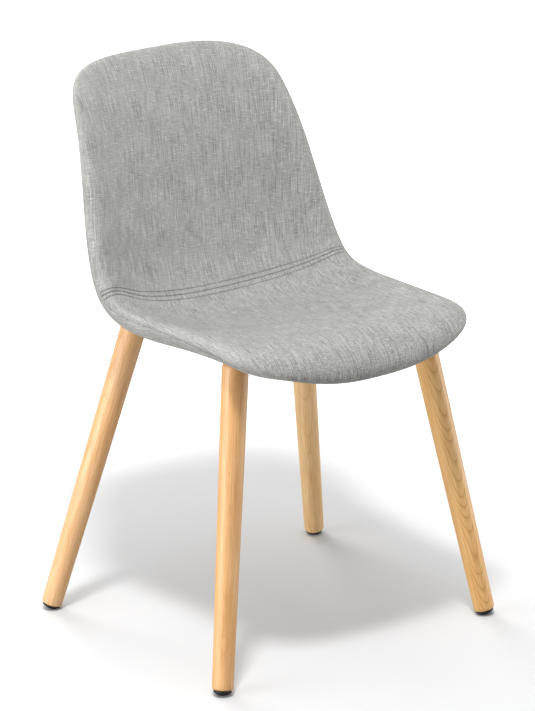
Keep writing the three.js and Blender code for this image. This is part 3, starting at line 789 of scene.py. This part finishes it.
# Materials
class Nodes:
    """A short way to write a material's node tree."""

    def __init__(self, name):
        self.material = bpy.data.materials.new(name)
        self.material.use_nodes = True
        self.tree = self.material.node_tree
        self.shader = self.tree.nodes["Principled BSDF"]

    def put(self, socket, value):
        if isinstance(value, bpy.types.NodeSocket):
            self.tree.links.new(value, socket)
        else:
            socket.default_value = value

    def add(self, kind, *values, **settings):
        """A new node with these settings. The values go to its first inputs, in order."""
        node = self.tree.nodes.new(kind)
        for key, value in settings.items():
            setattr(node, key, value)
        for socket, value in zip(node.inputs, values):
            self.put(socket, value)
        return node

    def math(self, operation, a, b=0.0, clamp=False):
        return self.add("ShaderNodeMath", a, b, operation=operation, use_clamp=clamp).outputs[0]

    def times(self, a, b):
        return self.math("MULTIPLY", a, b)

    def total(self, a, b, clamp=False):
        return self.math("ADD", a, b, clamp)

    def attribute(self, name):
        return self.add("ShaderNodeAttribute", attribute_name=name).outputs["Vector"]

    def object_place(self):
        return self.add("ShaderNodeTexCoord").outputs["Object"]

    def split(self, vector):
        return self.add("ShaderNodeSeparateXYZ", vector).outputs

    def join(self, x, y, z):
        return self.add("ShaderNodeCombineXYZ", x, y, z).outputs[0]

    def scaled(self, vector, factors):
        return self.add("ShaderNodeVectorMath", vector, factors, operation="MULTIPLY").outputs[0]

    def plus(self, a, b):
        return self.add("ShaderNodeVectorMath", a, b, operation="ADD").outputs[0]

    def noise(self, vector, scale, detail=2.0, rough=0.5, shift=None, colour=False):
        """Noise of one scale, or of one scale for each axis, and then with an optional shift."""
        if isinstance(scale, tuple):
            vector, scale = self.scaled(vector, scale), 1.0
        if shift is not None:
            vector = self.plus(vector, shift)
        node = self.add("ShaderNodeTexNoise", vector)
        node.inputs["Scale"].default_value = scale
        node.inputs["Detail"].default_value = detail
        node.inputs["Roughness"].default_value = rough
        return node.outputs["Color" if colour else "Fac"]

    def spread(self, value, low, high, new_low=0.0, new_high=1.0):
        return self.add("ShaderNodeMapRange", value, low, high, new_low, new_high).outputs["Result"]

    def mix(self, factor, a, b):
        node = self.add("ShaderNodeMix", data_type="RGBA")
        self.put(node.inputs["Factor"], factor)
        self.put(node.inputs["A"], a)
        self.put(node.inputs["B"], b)
        return node.outputs["Result"]

    def bump(self, height, strength, distance):
        node = self.add("ShaderNodeBump")
        node.inputs["Strength"].default_value = strength
        node.inputs["Distance"].default_value = distance
        self.put(node.inputs["Height"], height)
        self.put(self.shader.inputs["Normal"], node.outputs[0])

    def set(self, **values):
        """Sets the shader's inputs by name, with _ for a space."""
        for key, value in values.items():
            self.put(self.shader.inputs[key.replace("_", " ")], value)


def tinted(colour, tint):
    return (colour[0] * tint[0], colour[1] * tint[1], colour[2] * tint[2], 1.0)


def grey(value, tint):
    return tinted((value, value, value), tint)


def bent(n, place, wander, reach):
    """Places moved to the side by a coloured noise, by half the reach at most."""
    return n.plus(place, n.scaled(n.plus(wander, (-0.5, -0.5, -0.5)), (reach, reach, 0.0)))


CLOTH_TINT = (1.0, 1.0, 0.95)
CLOTH_TURN = math.radians(9)
# The last of these tones is painted shade, for the shadow in the grooves of seams and stitch rows
DARK_YARN, LIGHT_YARN, PAINTED_SHADE_TONE = 0.183, 0.63, 0.12
MEAN_LIGHT = 0.40
# How strongly the painted shade of the grooves darkens the cloth
PAINTED_SHADE_STRENGTH = 0.30
# In metres: the weave's pitch, how far threads wander, and how far they are shifted along themselves
WEAVE_PITCH = 0.00085
THREAD_WANDER = 0.0016
WARP_SHIFT, WEFT_SHIFT = 0.16, 0.06
SHIFTS_PER_METRE = 380.0
SLUB_RANGE = (0.62, 0.76)


def cloth_threads(n, x, y, fine, short):
    """Places along warps and wefts. Each thread is shifted along itself, so that no rows show."""
    per_metre = SHIFTS_PER_METRE * fine
    warp_shift = n.noise(n.join(n.times(x, per_metre), 0.0, 0.0), 1.0, 2.0, 0.6)
    weft_shift = n.noise(n.join(0.0, n.times(y, per_metre), 4.7), 1.0, 2.0, 0.6)
    warps = n.join(x, n.total(y, n.times(warp_shift, WARP_SHIFT / short)), 0.0)
    wefts = n.join(n.total(x, n.times(weft_shift, WEFT_SHIFT / short)), y, 0.0)
    return warps, wefts


def yarn_pattern(n, place, fine, short, slubs):
    """How light the yarn is at each place, how far it stands out, and its flecks."""
    x, y, _ = n.split(place)
    warps, wefts = cloth_threads(n, x, y, fine, short)
    warp_wide = n.noise(warps, (1250.0 * fine, 14.0 * short, 0.0), 1.0)
    warp_fine = n.noise(warps, (1700.0 * fine, 40.0 * short, 0.0), 1.0, 0.6, (7.3, 2.1, 0.0))
    weft_wide = n.noise(wefts, (40.0 * short, 700.0 * fine, 0.0), 3.0, 0.6, (3.9, 9.2, 0.0))
    weft_fine = n.noise(wefts, (60.0 * short, 1500.0 * fine, 0.0), 1.0, 0.6, (1.7, 5.5, 0.0))
    slub_warp = n.noise(warps, (1300.0 * fine, 38.0 * short, 0.0), 1.0, 0.5, (0.3, 4.4, 0.0))
    slub_weft = n.noise(wefts, (75.0 * short, 900.0 * fine, 0.0), 1.0, 0.5, (6.1, 0.8, 0.0))
    slub_warp, slub_weft = n.spread(slub_warp, *SLUB_RANGE), n.spread(slub_weft, *SLUB_RANGE)
    mottle = n.noise(place, 26.0, 4.0, 0.6)
    patch = n.noise(n.plus(place, (0.31, 0.17, 0.0)), 420.0, 2.0, 0.6)
    fleck = n.noise(place, 1000.0 * fine, 2.0, 0.6)
    light = MEAN_LIGHT
    weights = (1.1, 0.3, 0.8, 0.7, 0.3, 1.0, 0.08)
    for part, weight in zip((warp_wide, weft_wide, warp_fine, weft_fine, mottle, fleck, patch), weights):
        light = n.total(light, n.times(n.math("SUBTRACT", part, 0.5), weight))
    light = n.total(light, n.times(slub_warp, 0.7 * slubs))
    light = n.total(light, n.times(slub_weft, 0.8 * slubs), clamp=True)
    warp = n.math("SINE", n.times(x, 2 * math.pi / WEAVE_PITCH))
    weft = n.math("SINE", n.times(y, 2 * math.pi / WEAVE_PITCH))
    height = n.total(n.times(n.times(warp, weft), 0.35), n.total(warp_fine, weft_fine))
    height = n.total(height, n.times(n.total(slub_warp, slub_weft), 0.5))
    return light, height, fleck


def fabric_material(name, offset=(0.0, 0.0, 0.0), fine=1.0, short=1.0, slubs=1.0):
    """Heathered cloth; fine is how close its threads lie, short is how short its streaks are."""
    n = Nodes(name)
    across, along, painted_shade = n.split(n.attribute("weave"))
    turn = n.add("ShaderNodeVectorRotate", n.join(across, along, 0.0), rotation_type="Z_AXIS")
    turn.inputs["Angle"].default_value = CLOTH_TURN
    place = n.plus(turn.outputs[0], offset)
    place = bent(n, place, n.noise(place, 45.0, colour=True), THREAD_WANDER)
    light, height, fleck = yarn_pattern(n, place, fine, short, slubs)
    colour = n.mix(light, grey(DARK_YARN, CLOTH_TINT), grey(LIGHT_YARN, CLOTH_TINT))
    # Painted shade along seams and stitch rows, darkening the cloth where their grooves lie in shadow
    colour = n.mix(n.times(painted_shade, PAINTED_SHADE_STRENGTH), colour, grey(PAINTED_SHADE_TONE, CLOTH_TINT))
    n.bump(height, strength=0.5, distance=0.0003)
    n.set(Base_Color=colour, Roughness=n.spread(fleck, 0.3, 0.7, 0.86, 0.98))
    n.set(Sheen_Weight=0.22, Sheen_Roughness=0.45, Specular_IOR_Level=0.2)
    return n.material


def thread_material():
    n = Nodes("stitch_thread")
    twist = n.noise(n.object_place(), 1500.0)
    colour = n.mix(twist, grey(0.20, CLOTH_TINT), grey(0.42, CLOTH_TINT))
    n.set(Base_Color=colour, Roughness=n.spread(twist, 0.0, 1.0, 0.6, 0.8), Specular_IOR_Level=0.3)
    n.bump(twist, strength=0.4, distance=0.0001)
    return n.material


def foam_material():
    n = Nodes("cut_foam")
    place = n.object_place()
    cells = n.add("ShaderNodeTexVoronoi", place)
    cells.inputs["Scale"].default_value = 900.0
    tone = n.noise(place, 25.0, 3.0)
    colour = n.mix(tone, (0.80, 0.70, 0.46, 1), (0.86, 0.78, 0.56, 1))
    n.set(Base_Color=colour, Roughness=n.spread(tone, 0.0, 1.0, 0.88, 0.96))
    n.bump(cells.outputs["Distance"], strength=0.6, distance=0.0006)
    return n.material


def plywood_material():
    n = Nodes("moulded_plywood")
    place = n.object_place()
    grain = n.noise(place, (260.0, 14.0, 14.0), 4.0, 0.6)
    fine = n.noise(place, (900.0, 40.0, 40.0))
    both = n.total(n.times(grain, 0.7), n.times(fine, 0.3), clamp=True)
    colour = n.mix(both, (0.50, 0.33, 0.17, 1), (0.78, 0.60, 0.38, 1))
    n.set(Base_Color=colour, Roughness=n.spread(fine, 0.2, 0.8, 0.5, 0.7))
    n.bump(both, strength=0.3, distance=0.0003)
    return n.material


def zinc_material():
    n = Nodes("zinc_plated_steel")
    place = n.object_place()
    blotch = n.noise(place, 260.0, 4.0)
    brush = n.noise(place, (300.0, 300.0, 3000.0))
    colour = n.mix(blotch, (0.42, 0.43, 0.44, 1), (0.62, 0.63, 0.62, 1))
    n.set(Base_Color=colour, Roughness=n.spread(brush, 0.2, 0.8, 0.3, 0.5), Metallic=1.0)
    n.bump(brush, strength=0.15, distance=0.0001)
    return n.material


def glide_material():
    n = Nodes("black_plastic")
    scuff = n.noise(n.object_place(), (220.0, 220.0, 500.0), 4.0, 0.6)
    colour = n.mix(n.spread(scuff, 0.5, 0.8), (0.012, 0.012, 0.013, 1), (0.035, 0.034, 0.033, 1))
    n.set(Base_Color=colour, Roughness=n.spread(scuff, 0.3, 0.7, 0.38, 0.62))
    n.bump(scuff, strength=0.15, distance=0.0002)
    return n.material


# Wood: its tones, how far its rings bend, in metres, and how sharply each darkens towards its edge
WOOD_TONES = {
    "dark": (0.80, 0.437, 0.175),
    "pale": (0.88, 0.548, 0.27),
    "late": (0.50, 0.19, 0.035),
    "fibre": (0.52, 0.25, 0.09),
    "shine": (0.92, 0.66, 0.40),
    "fleck": (0.42, 0.19, 0.07),
}
RING_BEND = 0.009
RING_SHARPNESS = 4.5


def late_wood(n, place, facing, heart, slope, ring_step, seed):
    """Growth rings round a heart line behind the side that faces the angle given, leaning by slope."""
    wander = n.noise(place, (10.0, 10.0, 9.0), 3.0, 0.55, (seed, 0.0, 0.0), colour=True)
    x, y, z = n.split(bent(n, place, wander, RING_BEND))
    away = n.total(heart, n.times(z, slope))
    px = n.total(x, n.times(away, math.cos(facing)))
    py = n.total(y, n.times(away, math.sin(facing)))
    radius = n.math("SQRT", n.total(n.times(px, px), n.times(py, py)))
    rings = n.math("FRACT", n.math("DIVIDE", radius, ring_step))
    return n.times(n.math("POWER", rings, RING_SHARPNESS), n.spread(rings, 0.94, 1.0, 1.0, 0.0))


def wood_material(name, facing, heart, slope, ring_step, seed, contrast, tint):
    n = Nodes(name)
    place = n.attribute("grain")
    late = late_wood(n, place, facing, heart, slope, ring_step, seed)
    broad = n.noise(place, (45.0, 45.0, 7.0), 3.0, 0.6, (0.0, seed, 0.0))
    fibre = n.noise(place, (650.0, 650.0, 13.0), 4.0, 0.65, (seed, seed, 0.0))
    fleck = n.noise(place, (600.0, 600.0, 90.0), 2.0, 0.5, (0.0, 0.0, seed))
    tones = {key: tinted(tone, tint) for key, tone in WOOD_TONES.items()}
    colour = n.mix(n.spread(broad, 0.3, 0.7), tones["dark"], tones["pale"])
    colour = n.mix(n.times(late, contrast), colour, tones["late"])
    colour = n.mix(n.spread(fibre, 0.48, 0.74, 0.0, 0.55), colour, tones["fibre"])
    colour = n.mix(n.spread(fibre, 0.50, 0.30, 0.0, 0.35), colour, tones["shine"])
    colour = n.mix(n.spread(fleck, 0.64, 0.74, 0.0, 0.34), colour, tones["fleck"])
    n.set(Base_Color=colour, Roughness=n.spread(fibre, 0.3, 0.7, 0.42, 0.56))
    n.set(Coat_Weight=0.12, Coat_Roughness=0.35)
    n.bump(n.total(n.times(late, 0.3), fibre), strength=0.12, distance=0.0002)
    return n.material


# Upholstery
def paint(piece, material):
    piece.data.materials.clear()
    piece.data.materials.append(material)


def finish_piece(piece, slot, material, *nodes):
    """Gives a piece its material, puts it under the root body, and hides the CAD nodes it stands for. Its
    slot is not used.
    """
    paint(piece, material)
    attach(piece, "root")
    if nodes:
        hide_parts(*nodes)


def declare_sheet(part, reach):
    """Works out the four lines of the cover's pattern, and does nothing more with them."""
    bottom, right, top, left = panel_lines(part, reach)


cloth = fabric_material("heathered_cloth", short=1.25)
cloth_seat = fabric_material("heathered_cloth_seat", (0.4, 1.9, 0.0), fine=0.68, short=2.2, slubs=0.65)
cloth_outer = fabric_material("heathered_cloth_outer", (1.3, 0.7, 0.0), short=1.25)
seat_cover = cover_panel("seat_cover_panel", "seat")
back_cover = cover_panel("inside_back_panel", "back")
outer_cover = cover_panel("outer_panel", "outer")
finish_piece(seat_cover, "cover_fabric", cloth_seat, "seat_cover")
finish_piece(back_cover, "cover_fabric", cloth, "inside_back_cover")
finish_piece(outer_cover, "cover_fabric", cloth_outer, "outer_cover")


# Foam pads
def foam_inside(flat, depth, reach):
    """The foam's face on the plywood, drawn in towards the plywood's edge."""
    index, past = ring_place(flat)
    share = np.clip(np.maximum(past, 0) / on_ring(reach[:, None], index)[:, 0], 0, 1)
    inset = EDGE_ROUND + (plywood_edge_inset() - GAP - EDGE_ROUND) * share
    x, s = shell_place(flat, index, past, inset)
    return offset_point(x, s, depth + PLYWOOD_THICKNESS + GAP - station(s, HALF_THICK))


def foam_pad(name, part):
    """A foam pad under its cover, cut off with half a gap at the seam between back and seat."""
    reach = edge_reach(True, np.full(len(OUTLINE), FOAM_END_ANGLE))
    grid = panel_grid(part, reach, FOAM_GRID)
    flat = grid.reshape(-1, 2)
    depth = COVER_THICKNESS + GAP
    on_seam = np.abs(seam_distance(flat)) < SAME_PLACE
    outside = cover_point(flat, depth + front_depth(flat), True)
    inside = foam_inside(flat, depth, reach)
    for points in (outside, inside):
        points[on_seam, 1] += (GAP if part == "back" else -GAP) / 2
    return two_sided(name, grid.shape, outside, inside, True)


foam = foam_material()
seat_foam = foam_pad("seat_foam_pad", "seat")
back_foam = foam_pad("back_foam_pad", "back")
finish_piece(seat_foam, "foam", foam, "seat_foam")
finish_piece(back_foam, "foam", foam, "back_foam")
declare_sheet("seat", FRONT_REACH)
declare_sheet("back", FRONT_REACH)
declare_sheet("outer", edge_reach(False))

# Stitching
thread = thread_material()
edge_ring = INNER - INWARD * (FRONT_REACH - EDGE_ROW_OFFSET)[:, None]


def seam_row(offset):
    """The pattern line of a stitch row at a distance above the seam."""
    _, _, seam, _ = panel_lines("seat", FRONT_REACH - EDGE_ROW_OFFSET)
    slope = np.gradient(seam[:, 1], seam[:, 0])
    across = np.stack([-slope, np.ones(len(slope))], -1) / np.hypot(1, slope)[:, None]
    return seam + across * offset


stitch_rows = {"topstitch_" + name: (seam_row(row), TOPSTITCH) for name, row in STITCH_ROWS.items()}
stitch_rows["edge_stitching"] = (np.concatenate([edge_ring, edge_ring[:1]]), EDGE_STITCH)
for name, (line, thread_size) in stitch_rows.items():
    finish_piece(stitches(name, line, thread_size), "cover_fabric", thread)

# Legs and glides
FACING = {"left": math.radians(12), "middle": math.radians(52), "right": math.radians(77)}
# Each leg's grain: where its rings show, its heart line's distance and lean, a ring's width, a number for
# its noise, how plain the rings are, and the tint
# The tints are partly each leg's own wood tone and partly painted light: legs that the seat shades are
# lightened
WOODS = {
    "front_right": (FACING["middle"], 0.030, 0.012, 0.0036, 3.1, 0.30, (1.0, 0.95, 0.87)),
    # This leg's tint is partly painted light, lifting it a little out of the seat's shadow
    "front_left": (FACING["right"], 0.050, 0.085, 0.0023, 8.4, 0.80, (1.09, 1.09, 0.93)),
    "rear_right": (FACING["left"], 0.040, -0.040, 0.0026, 5.7, 0.34, (1.03, 1.04, 1.08)),
    # This leg's tint is partly painted light, lifting it well out of the seat's shadow
    "rear_left": (FACING["middle"], 0.024, 0.010, 0.0024, 1.9, 0.34, (1.14, 1.27, 1.36)),
}
black = glide_material()
for name, wood in WOODS.items():
    row, side = name.split("_")
    axis = leg_axis(row, -1 if side == "right" else 1)
    length = axis["reach"] + LEG_TOP_SINK
    cut_above = length - LEG_CUT_ZONE
    leg = turned("turned_leg_" + name, axis, leg_profile(length), LEG_SEGMENTS, top_limit=cut_above)
    finish_piece(leg, "leg_wood", wood_material("leg_wood_" + name, *wood), "leg_" + name)
    glide = turned("domed_glide_" + name, axis, glide_profile(axis), GLIDE_SEGMENTS)
    finish_piece(glide, "glide_plastic", black, "glide_" + name)

# Carried-over CAD pieces
ZINC_PIECES = ("hanger_bolt", "leg_plate", "plate_screw", "glide_nail")
zinc = zinc_material()
for name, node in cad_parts.items():
    if name.startswith(ZINC_PIECES):
        paint(node, zinc)
paint(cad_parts["plywood_shell"], plywood_material())

# Floor
FLOOR_SIDE = 60.0
# Distances from the middle between which the floor goes over to white, in metres
FLOOR_FADE = (0.55, 1.5)
FLOOR_TONES = (0.772, 0.777, 0.785, 1), (0.782, 0.787, 0.795, 1)
FLOOR_BOUNCE = (0.32, 0.32, 0.32, 1)


def floor_material():
    """Pale round the chair, going over to white, and darker to what it lights from below."""
    n = Nodes("studio_floor")
    place = n.object_place()
    away = n.add("ShaderNodeVectorMath", place, operation="LENGTH")
    n.set(
        Base_Color=n.mix(n.noise(place, 2.0), *FLOOR_TONES),
        Roughness=0.9,
        Specular_IOR_Level=0.1,
        Emission_Color=(1, 1, 1, 1),
        Emission_Strength=n.spread(away.outputs["Value"], *FLOOR_FADE),
    )
    seen = n.add("ShaderNodeLightPath").outputs["Is Camera Ray"]
    bounce = n.add("ShaderNodeBsdfDiffuse", FLOOR_BOUNCE).outputs[0]
    choice = n.add("ShaderNodeMixShader", seen, bounce, n.shader.outputs[0])
    n.put(n.tree.nodes["Material Output"].inputs["Surface"], choice.outputs[0])
    return n.material


corners = np.array([(-1, -1, 0), (1, -1, 0), (1, 1, 0), (-1, 1, 0)]) * FLOOR_SIDE / 2 / MM
floor = make_object("studio_floor", corners, [(0, 1, 2, 3)], smooth=False)
paint(floor, floor_material())

# Camera at the photograph's angle
CAMERA_PLACE = (-3.1187, -4.0190, 2.0965)
CAMERA_AZIMUTH = math.radians(-37.91)
CAMERA_ELEVATION = math.radians(18.67)
CAMERA_LENS = 194.9


def photo_camera():
    data = bpy.data.cameras.new("camera")
    data.lens = CAMERA_LENS
    camera = bpy.data.objects.new("camera", data)
    bpy.context.scene.collection.objects.link(camera)
    camera.location = CAMERA_PLACE
    camera.rotation_euler = (math.pi / 2 - CAMERA_ELEVATION, 0.0, CAMERA_AZIMUTH)
    bpy.context.scene.camera = camera


photo_camera()

# Light
LIT_PLACE = Vector((0.0, 0.0, 0.4))
# Way from the lit place, distance, width and height in metres, and power in watts
LIGHTS = {
    "key_light": ((-0.30, -0.30, 1.0), 4.0, 0.5, 0.5, 88),
    "top_light": ((0.0, 0.0, 1.0), 3.6, 3.0, 3.0, 46),
    "side_light": ((-0.97, 0.2, 0.06), 2.8, 2.0, 1.2, 28),
    "low_light": ((-1.0, 0.12, -0.05), 3.0, 1.6, 0.4, 36),
    "front_light": ((0.3, -0.95, 0.25), 3.5, 2.0, 2.0, 11),
    "right_light": ((0.95, -0.3, 0.05), 3.0, 2.0, 0.7, 4),
    "leg_light": ((0.90, -0.40, -0.17), 1.75, 0.9, 0.12, 7),
    "back_light": ((0.1, 0.9, 0.6), 3.5, 2.0, 2.0, 56),
}
WORLD_LIGHT = 0.33


def area_light(name, way, distance, width, height, power):
    data = bpy.data.lights.new(name, "AREA")
    data.shape = "RECTANGLE"
    data.size, data.size_y = width, height
    data.energy = power
    lamp = bpy.data.objects.new(name, data)
    bpy.context.scene.collection.objects.link(lamp)
    lamp.location = Vector(way).normalized() * distance + LIT_PLACE
    lamp.rotation_euler = (LIT_PLACE - lamp.location).to_track_quat("-Z", "Y").to_euler()


def studio_world():
    """White to the camera, and a dim even light on the chair."""
    world = bpy.data.worlds.new("studio")
    bpy.context.scene.world = world
    world.use_nodes = True
    tree = world.node_tree
    background = tree.nodes["Background"]
    background.inputs["Color"].default_value = (1, 1, 1, 1)
    path = tree.nodes.new("ShaderNodeLightPath")
    strength = tree.nodes.new("ShaderNodeMix")
    strength.inputs["A"].default_value = WORLD_LIGHT
    strength.inputs["B"].default_value = 1.0
    tree.links.new(path.outputs["Is Camera Ray"], strength.inputs["Factor"])
    tree.links.new(strength.outputs["Result"], background.inputs["Strength"])


for name, values in LIGHTS.items():
    area_light(name, *values)
studio_world()
bpy.context.scene.view_settings.view_transform = "Standard"
